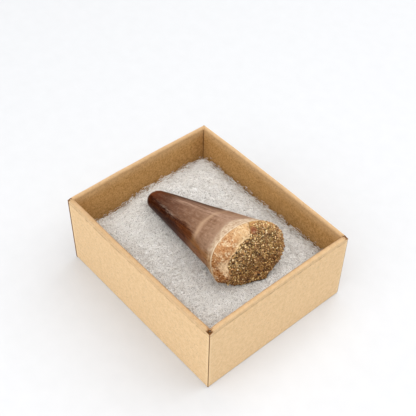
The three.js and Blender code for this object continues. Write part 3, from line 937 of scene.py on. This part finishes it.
class FOSSIL_OT_form_tooth(bpy.types.Operator):
    """Forms the crown with its enamel edge, and the porous stump of root"""

    bl_idname = "fossil.form_tooth"
    bl_label = "Form the tooth"

    AROUND = 236
    TIP_ROWS, CROWN_ROWS, ROOT_ROWS, HIDDEN_ROWS = 10, 164, 46, 8
    SHOWN_ROOT = 0.47  # the run at which the last of the root is well under the rock

    def execute(self, context):
        tooth = context.scene.fossil_tooth
        mesh = bmesh.new()
        tip, edge = self.TIP_ROWS, self.TIP_ROWS + self.CROWN_ROWS
        under = edge + self.ROOT_ROWS
        rows = under + self.HIDDEN_ROWS
        around, row_share = grid_places(mesh, self.AROUND, rows)
        row = np.round(row_share * rows)
        angle = around * 2 * math.pi
        round_tip = TIP_ROUND * (1 - np.cos(np.minimum(row / tip, 1) * math.pi / 2)) - 1
        crown = lerp(TIP_ROUND, 1, (row - tip) / self.CROWN_ROWS) - 1
        root = self.SHOWN_ROOT * (row - edge) / self.ROOT_ROWS
        hidden = lerp(self.SHOWN_ROOT, 1, (row - under) / self.HIDDEN_ROWS)
        run = np.select([row <= tip, row <= edge, row <= under], [round_tip, crown, root], hidden)
        places = self.relief(tooth, angle, run)
        put(mesh, places)
        self.note_colours(tooth, mesh, angle, run, places)
        close_up(mesh)
        finish_piece("tooth_crown", mesh, tooth_paint(), "tooth")
        return {"FINISHED"}

    def relief(self, tooth, angle, run):
        """The skin with its fine lines, flutes, enamel step, pores and the bed of the rock."""
        base = skin(angle, run)
        turn = np.stack([np.cos(angle), np.sin(angle)], axis=1)
        drawn, fluted = (
            np.concatenate([turn * around, (run * along)[:, None]], axis=1)
            for around, along in ((16, 4.0), (3.2, 1.6))
        )
        lines = grain_at(drawn, 1, 2.0, 3) * tooth.striae / MM
        flutes = grain_at(fluted, 1, 5.0, 2) * 0.12
        dents = -0.1 * smooth(grain_at(base, 2.6, 8.0, 2), 0.35, 0.8)
        ring = 0.05 * bump_at(run + 1, tooth.ring, 0.008)
        grown = (1 - smooth(run, -0.004, 0.0)) * smooth(run, -0.98, -0.8)
        edge_wear = 0.08 * grain_at(base, 0.7, 3.0, 2) * bump_at(run, 0, 0.012)
        push = (lines + flutes + dents + ring) * grown + edge_wear
        pores = cells_at(base, 0.95, 1.0)
        pits = -tooth.pits / MM * (bump_at(pores, 0, 0.3) - 0.25 * bump_at(pores, 0.45, 0.12))
        rough = 0.16 * grain_at(base, 1.5, 6.0, 4)
        push += smooth(run, 0, 0.012) * (-tooth.enamel / MM + pits + rough)
        rim = rock_rim(angle)
        bed = 1.5 * smooth(run - rim, 0.0, 0.035) * smooth(run, 0.0, 0.03)
        lip = 0.22 * bump_at(run - rim, -0.02, 0.025) * smooth(rim, 0.1, 0.3)
        push += lip - bed
        return base + outward(base) * push[:, None]

    def note_colours(self, tooth, mesh, angle, run, places):
        """Masks for the enamel's faces with their painted sheen and shade, the painted highlights
        and keel shade, the pale band and ring, the root and its lip.
        """
        degrees = np.degrees(angle)
        station = np.clip(run + 1, 0, 1)
        wander = grain_at(places, 5.0, 4.0, 2)
        # Where the lighter upper face, with its painted sheen, gives way to the darker lower flank,
        # with its painted shade.
        drop = lerp(106, 121, smooth(station, 0.12, 0.4)) + 26 * smooth(station, 0.52, 0.8)
        below = smooth(degrees + 6 * wander, drop, drop + 26)
        # Painted highlights: short glints along the edge of the lower flank, near the tip.
        glints = bump_at(degrees + 3 * wander, drop + 17, 7) * bump_at(station, 0.3, 0.12)
        # A painted highlight along the crown's top.
        crest = bump_at(degrees + 4 * wander, 80, 11) * smooth(station, 0.2, 0.34)
        crest = crest * (1 - 0.5 * smooth(station, 0.7, 0.9))
        # Painted shade along the far edge, where the crown turns away from the light.
        keel = bump_at(degrees, 44, 13) * (1 - smooth(station, 0.52, 0.8))
        keel = keel * smooth(station, 0.04, 0.12)
        width = 2.1 + 1.9 * bump_at(degrees, 88, 34) + 0.4 * bump_at(degrees, 150, 25)
        width = width + 0.9 * wander
        from_edge = -run * CROWN_LENGTH
        ring_place = tooth.ring + 0.012 * np.sin(angle * 2) + 0.03 * bump_at(degrees, 147, 22)
        ring_place = ring_place + 0.006 * wander
        ring_width = 0.018 + 0.008 * bump_at(degrees, 120, 22) + 0.05 * smooth(degrees, 140, 190)
        ring = bump_at(station, ring_place, ring_width)
        ring = ring * lerp(0.85, 0.3, smooth(degrees, 132, 170)) * (run < 0)
        edge = lerp(0.55, 0.85, smooth(degrees, 100, 150)) * bump_at(run, -0.003, 0.006)
        low_root = smooth(degrees + 8 * wander, 138, 180) * (1 - smooth(degrees, 250, 300))
        rim = rock_rim(angle)
        lip = bump_at(run - rim, 0.0, lerp(0.08, 0.05, smooth(degrees, 90, 140)))
        lip = smooth(rim, 0.1, 0.3) * lip * lerp(1, 0.4, smooth(degrees + 8 * wander, 140, 170))
        note(
            mesh,
            round_x=np.cos(angle) * ROUND_SIZE,
            round_y=np.sin(angle) * ROUND_SIZE,
            station=station,
            upper=smooth(degrees, 28, 40) * (1 - below),
            glints=0.6 * glints,
            crest=0.75 * crest,
            keel=0.95 * keel,
            band=(1 - smooth(from_edge, 0.45 * width, 1.9 * width)) * (run < 0.001),
            ring=ring * lerp(0.35, 1, smooth(degrees, 55, 110)),
            edge_line=edge,
            root=smooth(run, 0.0, 0.006),
            low_root=low_root,
            high_root=1 - smooth(degrees + 8 * wander, 84, 124),
            chalk=patch_share(places, CHALK_PATCH, 3.2),
            lip=lip,
        )


# ---- the rock ----


def rock_places(angle, run, lumps):
    """The rock's uneven top: thin at its ragged rim, and over the broken face in its middle."""
    base = skin(angle, run)
    rim = rock_rim(angle)
    inside = smooth(rim, 0.1, 0.3)
    from_rim = run - rim
    broad = lumps * (grain_at(base, 2.4, 11.0, 3) + 0.25)
    close = 0.3 * grain_at(base, 0.8, 13.0, 3)
    pebbles = 0.34 * (0.5 - cells_at(base, 1.15, 15.0))
    cover = smooth(from_rim, 0.0, 0.05)
    brim = lerp(0.22, -0.3, inside) * cover * (1 - smooth(from_rim, 0.05, 0.3))
    rise = cover * (broad + close + pebbles) + brim
    sunk = lerp(-0.25, -1.1, inside) * (1 - smooth(from_rim, -0.002, 0.03))
    return base + outward(base) * (rise + sunk)[:, None]


def rock_masks(places):
    """Where the golden crust lies, where the rock is browner, and its one reddish spot."""
    height, y = places[:, 2], places[:, 1]
    patch = grain_at(places, 3.0, 21.0, 3)
    wide = 2.5 * patch
    upper = smooth(height + 0.5 * y + wide, 41.2, 44.8)
    far = smooth(y + 1.5 * patch, 9.8, 11.4)
    lower = smooth(-y - 0.6 * height + wide, -8.0, -5.0)
    return {
        "crust": np.clip(upper + far + lower, 0, 1),
        "brown": 1 - smooth(height + wide, 27.0, 35.0),
        "red": patch_share(places, RED_SPOT, 1.9),
    }


class FOSSIL_OT_crust_rock(bpy.types.Operator):
    """Builds the sandy rock on the broken end, with its loose grains"""

    bl_idname = "fossil.crust_rock"
    bl_label = "Crust the rock"

    AROUND = 230
    TOP_ROWS, UNDER_ROWS = 72, 10

    def execute(self, context):
        rock = context.scene.fossil_rock
        lumps = rock.lumps / MM
        mesh = bmesh.new()
        rows = self.TOP_ROWS + self.UNDER_ROWS
        around, row_share = grid_places(mesh, self.AROUND, rows)
        row = row_share * rows
        angle = around * 2 * math.pi
        on_top = row <= self.TOP_ROWS
        under = (row - self.TOP_ROWS) / self.UNDER_ROWS
        down = np.where(on_top, 1 - row / self.TOP_ROWS, under)
        run = lerp(rock_rim(angle), 1.0, down)
        bottom = skin(angle, run)
        bottom = bottom - outward(bottom) * (0.4 + 1.9 * smooth(down, 0, 0.3))[:, None]
        places = np.where(on_top[:, None], rock_places(angle, run, lumps), bottom)
        put(mesh, places)
        fine, broad = grain_at(places, 0.6, 17.0, 2), grain_at(places, 2.5, 19.0, 2)
        note(mesh, tone=np.clip(0.5 + 0.26 * fine + 0.1 * broad, 0, 1), **rock_masks(places))
        close_up(mesh)
        self.scatter_grains(mesh, rock, lumps)
        finish_piece(
            "rock_crust", mesh, rock_paint(), "rock_matrix", smooth_shaded=False
        )
        return {"FINISHED"}

    def scatter_grains(self, mesh, rock, lumps):
        """Adds small angular grains, half sunk in the rock's top."""
        draw = np.random.default_rng(41)
        count = rock.grains
        angle = draw.uniform(0, 2 * math.pi, count)
        share = np.sqrt(draw.uniform(0, 1, count))
        run = lerp(1.0, rock_rim(angle) + 0.012, share)
        middle = rock_places(angle, run, lumps)
        radius = rock.grain / MM * np.exp(draw.normal(0, 0.27, count))
        middle = middle + outward(middle) * (radius * draw.uniform(-0.7, 0.6, count))[:, None]
        shade = np.clip(draw.normal(0.45, 0.31, count), 0, 1)
        bright = draw.uniform(0, 1, count) < 0.2
        shade = np.where(bright, draw.uniform(0.85, 1.0, count), shade)
        masks = {"tone": shade, **rock_masks(middle)}
        layers = [(mesh.verts.layers.float[name], mask) for name, mask in masks.items()]
        stone = bmesh.new()
        bmesh.ops.create_icosphere(stone, subdivisions=1, radius=1)
        corners = np.array([v.co for v in stone.verts])
        faces = [[v.index for v in f.verts] for f in stone.faces]
        stone.free()
        for i in range(count):
            squeeze = draw.uniform(0.6, 1.25, 3)
            turned = corners * draw.uniform(0.75, 1.15, (len(corners), 1)) * squeeze
            spin = Matrix.Rotation(draw.uniform(0, 6.28), 3, Vector(draw.normal(0, 1, 3)))
            grain = middle[i] + turned @ np.array(spin).T * radius[i]
            made = [mesh.verts.new(p) for p in grain]
            for vertex in made:
                for layer, mask in layers:
                    vertex[layer] = mask[i]
            for face in faces:
                mesh.faces.new([made[k] for k in face])


# ---- the batting ----

END_SAG, SIDE_SAG, SAG_REACH = 3.0, 2.4, 3.3  # how far it falls at the walls, and how gently
HOLLOW_PLACE, HOLLOW_DEPTH, HOLLOW_HALF = (-37, -17), 2.6, (8, 12)  # the sunk patch by the tip
WAVE_HEIGHT, WAVE_LENGTH = 0.35, 6.0
WALL_GAP, GAP_DEPTH = 4.6, 4.2  # how far from the walls it opens, and how deeply
# Each layer of loose fibres: its name, its share of the fibres, its share of their thickness, the
# lowest and highest it lies over the batting's own height, the longest bundle, and whether it keeps
# to the walls.
FIBRE_LAYERS = (
    ("deep", 0.5, 1.0, -0.25, 0.0, 8.0, False),
    ("top", 0.4, 1.0, -0.05, 0.3, 7.0, False),
    ("frizz", 0.7, 0.85, -2.0, 0.2, 4.0, True),
    ("halo", 1.0, 0.8, -1.4, 1.7, 2.6, True),
)


def pillow_height(x, y, level):
    """The batting's own height, before the tooth presses into it."""
    from_end = TRAY_HIGH.x / MM - WALL - np.abs(x)
    from_side = TRAY_HIGH.y / MM - WALL - np.abs(y)
    sag = END_SAG * np.exp(-from_end / SAG_REACH) + SIDE_SAG * np.exp(-from_side / SAG_REACH)
    (middle_x, middle_y), (half_x, half_y) = HOLLOW_PLACE, HOLLOW_HALF
    away = np.hypot((x - middle_x) / half_x, (y - middle_y) / half_y)
    wave = np.sin(x / WAVE_LENGTH + 1) * np.cos(y / WAVE_LENGTH)
    wave = wave + 0.7 * np.sin((2 * x - 1.6 * y) / WAVE_LENGTH)
    return level - sag - HOLLOW_DEPTH * np.exp(-(away**2)) + WAVE_HEIGHT * wave


class Underside:
    """How low the fossil hangs over each place of the batting, read from its finished meshes."""

    STEP = 0.4
    CLEAR = 99.0

    def __init__(self, names):
        bpy.context.view_layer.update()
        graph = bpy.context.evaluated_depsgraph_get()
        trees = [BVHTree.FromObject(bpy.data.objects[name], graph) for name in names]
        self.x = np.arange(-30, 32, self.STEP)
        self.y = np.arange(-17, 17, self.STEP)
        self.table = np.full((len(self.x), len(self.y)), self.CLEAR)
        for i, x in enumerate(self.x):
            for j, y in enumerate(self.y):
                for tree in trees:
                    hit = tree.ray_cast(Vector((x * MM, y * MM, 0)), Vector(UPWARDS))[0]
                    if hit:
                        self.table[i, j] = min(self.table[i, j], hit.z / MM)

    def at(self, x, y):
        """The lowest of the four table places round each point, or CLEAR outside the fossil."""
        i = np.clip(((x - self.x[0]) / self.STEP).astype(int), 0, len(self.x) - 2)
        j = np.clip(((y - self.y[0]) / self.STEP).astype(int), 0, len(self.y) - 2)
        return np.min([self.table[i + a, j + b] for a in (0, 1) for b in (0, 1)], axis=0)


class FOSSIL_OT_lay_batting(bpy.types.Operator):
    """Lays the batting in the tray, pressed down under the fossil, with its loose fibres"""

    bl_idname = "fossil.lay_batting"
    bl_label = "Lay the batting"

    FELT_COLUMNS, FELT_ROWS = 146, 120
    FELT_DEPTH = 0.25  # of the felt under the batting's own height
    POINTS = 9  # along each bundle of fibres
    FELT_LIFT, FIBRE_LIFT = 0.12, 0.08  # how far they keep under the fossil
    MARGIN = 0.1  # how far fibres keep from the walls

    def execute(self, context):
        batting = context.scene.fossil_batting
        self.level = batting.level / MM
        self.underside = Underside(["tooth_crown", "rock_crust"])
        self.half = (PAD_HIGH.x / MM, PAD_HIGH.y / MM)
        self.lay_felt(batting)
        for number, layer in enumerate(FIBRE_LAYERS):
            self.lay_fibres(batting, *layer, seed=100 + number)
        return {"FINISHED"}

    def wall_gap(self, x, y):
        """How open the batting is beside the walls: 1 at a wall and 0 a few millimetres in."""
        flat = np.stack([x, y, np.zeros_like(x)], axis=-1)
        ragged = 0.9 * grain_at(flat.reshape(-1, 3), 2.2, 37.0, 2).reshape(x.shape)
        from_wall = np.minimum(self.half[0] - np.abs(x), self.half[1] - np.abs(y))
        return 1 - smooth(from_wall + ragged, 0.0, WALL_GAP)

    def lay_felt(self, batting):
        mesh = bmesh.new()
        across, along = grid_places(mesh, self.FELT_COLUMNS, self.FELT_ROWS)
        x = lerp(-self.half[0], self.half[0], across)
        y = lerp(-self.half[1], self.half[1], along)
        flat = np.stack([x, y, np.zeros_like(x)], axis=1)
        gap = self.wall_gap(x, y)
        height = pillow_height(x, y, self.level) - self.FELT_DEPTH - GAP_DEPTH * gap
        tufts = grain_at(flat, 3.2, 31.0, 3) + 0.6 * grain_at(flat, 1.1, 33.0, 2)
        height += batting.tufts / MM * tufts
        height = np.minimum(height, self.underside.at(x, y) - self.FELT_LIFT)
        put(mesh, np.stack([x, y, height], axis=1))
        # The sunk mask also brings brown painted shade to the felt by the walls.
        note(mesh, sunk=gap)
        top = mesh.faces[:]
        grown = bmesh.ops.extrude_face_region(mesh, geom=top, use_keep_orig=True)["geom"]
        for vertex in grown:
            if isinstance(vertex, bmesh.types.BMVert):
                vertex.co.z = PAD_LOW.z / MM
        bmesh.ops.recalc_face_normals(mesh, faces=mesh.faces)
        pad = finish_piece("batting_felt", mesh, batting_paint(batting), "batting_pad")

    def lay_fibres(self, batting, name, share, thickness, low, high, longest, by_walls, seed):
        """One layer of curling fibre bundles, each a thin tube that tapers to both ends."""
        draw = np.random.default_rng(seed)
        count = round(batting.fibres * share)
        length = draw.uniform(0.3 * longest, longest, count)
        heading = draw.uniform(0, 2 * math.pi, count)
        curl = draw.normal(0, 0.3, count) * length
        wag = draw.normal(0, 0.9, count)
        along = np.linspace(0, 1, self.POINTS)
        arch = np.sin(math.pi * along)
        turn = heading[:, None] + curl[:, None] * along
        turn = turn + wag[:, None] * np.sin(2 * math.pi * along)
        start = [draw.uniform(-half, half, count) for half in self.half]
        if by_walls:
            inset = np.abs(draw.normal(0, 1, count)) * WALL_GAP * 0.8 + 0.4
            on_long_side = draw.uniform(0, 1, count) < 0.55
            flip = np.where(draw.uniform(0, 1, count) < 0.5, -1, 1)
            start[0] = np.where(on_long_side, start[0], flip * (self.half[0] - inset))
            start[1] = np.where(on_long_side, flip * (self.half[1] - inset), start[1])
        stride = (length / (self.POINTS - 1))[:, None]
        x, y = (
            np.clip(
                np.cumsum(way(turn) * stride, axis=1) + first[:, None],
                -half + self.MARGIN,
                half - self.MARGIN,
            )
            for way, first, half in zip((np.cos, np.sin), start, self.half)
        )
        offset = draw.uniform(low, high, count)[:, None]
        offset = offset + 0.3 * draw.normal(0, 1, (count, 1)) * arch
        loop = (draw.uniform(0, 1, count) < 0.08) * draw.uniform(0.3, 1.1, count)
        sink = draw.uniform(0, 1, count)[:, None] * GAP_DEPTH * self.wall_gap(x, y)
        z = pillow_height(x, y, self.level) + offset - sink + loop[:, None] * arch
        z = np.minimum(z, self.underside.at(x, y) - self.FIBRE_LIFT)
        radius = thickness * batting.fibre / MM / 2 * draw.uniform(0.7, 1.25, count)
        data = self.tubes(np.stack([x, y, z], axis=2), radius)
        data.name = "batting_fibres_" + name
        bundle_tone = draw.uniform(0, 1, count) ** 0.28
        tone = data.attributes.new("tone", "FLOAT", "POINT")
        tone.data.foreach_set("value", np.repeat(bundle_tone, len(data.vertices) // count))
        paint = fibre_paint("fibre_" + name, batting)
        show_piece(data.name, data, paint, "batting_pad")

    def tubes(self, paths, radius):
        """Closed three-sided tubes along the paths, as one mesh."""
        count, points = paths.shape[:2]
        ahead = np.gradient(paths, axis=1)
        ahead /= np.linalg.norm(ahead, axis=2, keepdims=True) + 1e-9
        side = np.cross(ahead, UPWARDS)
        side /= np.linalg.norm(side, axis=2, keepdims=True) + 1e-9
        over = np.cross(side, ahead)
        turns = (np.arange(3) * 2 * math.pi / 3)[None, None, :, None]
        inner = slice(1, points - 1)
        ring = side[:, inner, None] * np.cos(turns) + over[:, inner, None] * np.sin(turns)
        rings = paths[:, inner, None] + ring * radius[:, None, None, None]
        body = rings.reshape(count, -1, 3)
        corners = np.concatenate([paths[:, :1], body, paths[:, -1:]], axis=1)
        each = corners.shape[1]
        last = 1 + 3 * (points - 3)
        faces = [(0, 1 + (k + 1) % 3, 1 + k) for k in range(3)]
        for base in range(1, last, 3):
            for k in range(3):
                a, b = base + k, base + (k + 1) % 3
                faces += [(a, b, b + 3), (a, b + 3, a + 3)]
        faces += [(each - 1, last + k, last + (k + 1) % 3) for k in range(3)]
        shift = (np.arange(count) * each)[:, None, None]
        all_faces = (np.array(faces)[None] + shift).reshape(-1, 3)
        data = bpy.data.meshes.new("fibres")
        data.from_pydata((corners.reshape(-1, 3) * MM).tolist(), [], all_faces.tolist())
        return data


# ---- the stage ----


class FOSSIL_OT_set_stage(bpy.types.Operator):
    """Sets the floor, the light and the camera"""

    bl_idname = "fossil.set_stage"
    bl_label = "Set the stage"

    AIM = Vector((-14.86, 13.95, 15.0)) * MM
    AZIMUTH, ELEVATION, ROLL = 47.937, 46.153, 1.618
    SENSOR = 36
    FLOOR_HALF = 2.5
    # Each lamp's name, azimuth, elevation, distance, width and power.
    LIGHTS = (
        ("key", 168, 63, 0.9, 1.1, 7.5),
        ("fill", 12, 52, 0.9, 0.9, 5.5),
    )

    def execute(self, context):
        studio = context.scene.fossil_studio
        self.lay_floor()
        self.light(context, studio)
        self.aim_camera(context, studio)
        return {"FINISHED"}

    def lay_floor(self):
        mesh = bmesh.new()
        bmesh.ops.create_grid(mesh, x_segments=4, y_segments=4, size=self.FLOOR_HALF)
        data = to_data("floor", mesh)
        paint = Paint("pale_paper", Roughness=0.9)
        paper = paint.mix(paint.noise(6, detail=3), srgb(199, 200, 202), srgb(204, 205, 207))
        paint.feed("Base Color", paper)
        data.materials.append(paint.material)
        floor = show("floor", data)

    def light(self, context, studio):
        world = bpy.data.worlds.new("studio")
        world.use_nodes = True
        backdrop = world.node_tree.nodes["Background"]
        backdrop.inputs["Color"].default_value = (1, 1, 1, 1)
        backdrop.inputs["Strength"].default_value = studio.ambient
        context.scene.world = world
        context.scene.view_settings.view_transform = "Standard"
        for name, azimuth, elevation, distance, width, power in self.LIGHTS:
            lamp = bpy.data.lights.new(name, "AREA")
            lamp.shape = "SQUARE"
            lamp.size = width
            lamp.energy = power
            box = show(name, lamp)
            back = self.towards(azimuth, elevation)
            box.location = back * distance
            box.rotation_euler = back.to_track_quat("Z", "Y").to_euler()

    def towards(self, azimuth, elevation):
        """The direction of a place seen from the object: azimuth 0 is -Y, and 90 is +X."""
        a, e = math.radians(azimuth), math.radians(elevation)
        return Vector((math.sin(a) * math.cos(e), -math.cos(a) * math.cos(e), math.sin(e)))

    def aim_camera(self, context, studio):
        camera = bpy.data.cameras.new("camera")
        camera.lens = studio.lens
        camera.sensor_width = self.SENSOR
        camera.clip_start, camera.clip_end = 0.01, 20
        eye = show("camera", camera)
        back = self.towards(self.AZIMUTH, self.ELEVATION)
        level = Vector((0, 0, 1)).cross(back).normalized()
        roll = Matrix.Rotation(math.radians(self.ROLL), 3, "Z")
        turn = Matrix((level, back.cross(level), back)).transposed() @ roll
        eye.matrix_world = Matrix.Translation(self.AIM + back * studio.distance) @ turn.to_4x4()
        context.scene.camera = eye


class FOSSIL_PT_panel(bpy.types.Panel):
    """Lists the pieces and their settings"""

    bl_label = "Fossil Tooth"
    bl_idname = "FOSSIL_PT_panel"
    bl_space_type = "VIEW_3D"
    bl_region_type = "UI"
    bl_category = "Fossil"

    def draw(self, context):
        for operator, group, _ in STEPS:
            box = self.layout.box()
            box.operator(operator.bl_idname)
            settings = getattr(context.scene, group)
            for name in settings.bl_rna.properties.keys():
                if name not in ("rna_type", "name"):
                    box.prop(settings, name)


STEPS = (
    (FOSSIL_OT_set_stage, "fossil_studio", StudioSettings),
    (FOSSIL_OT_fold_tray, "fossil_tray", TraySettings),
    (FOSSIL_OT_form_tooth, "fossil_tooth", ToothSettings),
    (FOSSIL_OT_crust_rock, "fossil_rock", RockSettings),
    (FOSSIL_OT_lay_batting, "fossil_batting", BattingSettings),
)


def register():
    for operator, group, settings in STEPS:
        bpy.utils.register_class(settings)
        setattr(bpy.types.Scene, group, PointerProperty(type=settings))
        bpy.utils.register_class(operator)
    bpy.utils.register_class(FOSSIL_PT_panel)


def unregister():
    bpy.utils.unregister_class(FOSSIL_PT_panel)
    for operator, group, settings in reversed(STEPS):
        bpy.utils.unregister_class(operator)
        delattr(bpy.types.Scene, group)
        bpy.utils.unregister_class(settings)


def main():
    register()
    bpy.ops.fossil.set_stage()
    bpy.ops.fossil.fold_tray()
    bpy.ops.fossil.form_tooth()
    bpy.ops.fossil.crust_rock()
    bpy.ops.fossil.lay_batting()


if __name__ == "__main__":
    main()
